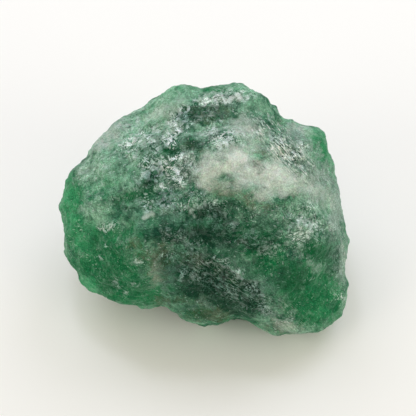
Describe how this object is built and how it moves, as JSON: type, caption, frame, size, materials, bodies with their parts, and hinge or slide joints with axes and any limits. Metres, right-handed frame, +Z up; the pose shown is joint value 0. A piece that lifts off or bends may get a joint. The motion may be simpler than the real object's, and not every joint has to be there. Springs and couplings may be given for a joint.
{
  "type": "emerald crystal specimen",
  "caption": "Rough lump of cloudy green emerald with milky patches, dark bands and a sparkling broken surface, lying on a small flat parting face.",
  "frame": {"origin": "in the plane of the rest face, below the middle of the stone's box", "axes": "+X along the stone's length, to the right as it is usually seen; +Y towards its back rim; +Z up from the surface it rests on"},
  "size_m": [0.0338, 0.0264, 0.0241],
  "materials": {
    "emerald": "cloudy, waxy on worn edges and sugary on broken faces"
  },
  "bodies": {
    "root": {"emerald_lump": "emerald"}
  },
  "joints": []
}
